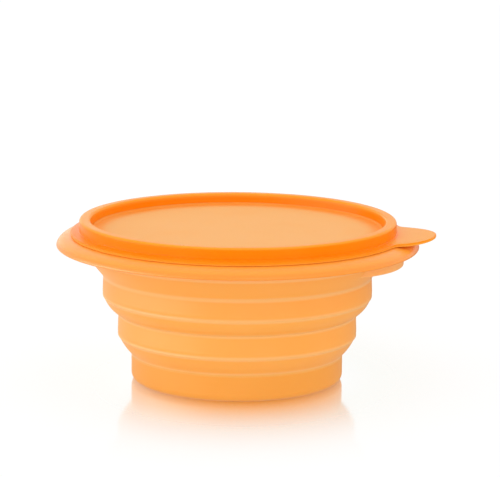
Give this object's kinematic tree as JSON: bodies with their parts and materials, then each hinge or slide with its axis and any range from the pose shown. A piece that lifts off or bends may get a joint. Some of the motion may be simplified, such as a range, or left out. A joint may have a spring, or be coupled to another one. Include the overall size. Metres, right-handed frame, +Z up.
{
  "type": "collapsible bowl with lid",
  "caption": "Round food bowl of stiff rings joined by thin webs that turn over so it presses flat, with a drooping brim and a press-on lid that has a pull tab.",
  "frame": {"origin": "centre of the flat underside that the bowl stands on", "axes": "+Z up along the bowl's axis, +X towards the lid's pull tab"},
  "size_m": [0.1871, 0.1788, 0.0804],
  "materials": {
    "bowl_base": "satin translucent soft moulding, orange",
    "bowl_wall": "satin translucent soft moulding, orange",
    "bowl_brim": "thin translucent soft moulding, pale orange",
    "lid_panel": "thin frosted translucent moulding, pale orange",
    "lid_rim": "glossy translucent moulding, deep orange where seen edge on"
  },
  "bodies": {
    "base": {"base_cup": "bowl_base", "lower_fold": "bowl_wall"},
    "middle_ring": {"lower_ring": "bowl_wall", "upper_fold": "bowl_wall"},
    "upper_bowl": {"upper_ring": "bowl_wall", "shoulder": "bowl_wall", "sealing_rim": "bowl_wall", "brim": "bowl_brim", "finger_tab": "bowl_brim"},
    "lid": {"lid_panel": "lid_panel", "lid_rim": "lid_rim", "lid_pull_tab": "lid_panel"}
  },
  "joints": [
    {"name": "lower_collapse", "type": "slide", "parent": "base", "child": "middle_ring", "axis": [0, 0, -1], "range_m": [0, 0.0205], "deforming": ["lower_fold"]},
    {"name": "upper_collapse", "type": "slide", "parent": "middle_ring", "child": "upper_bowl", "axis": [0, 0, -1], "range_m": [0, 0.0205], "deforming": ["upper_fold"]},
    {"name": "lid_lift", "type": "slide", "parent": "upper_bowl", "child": "lid", "axis": [0, 0, 1], "range_m": [0, 0.09]}
  ]
}
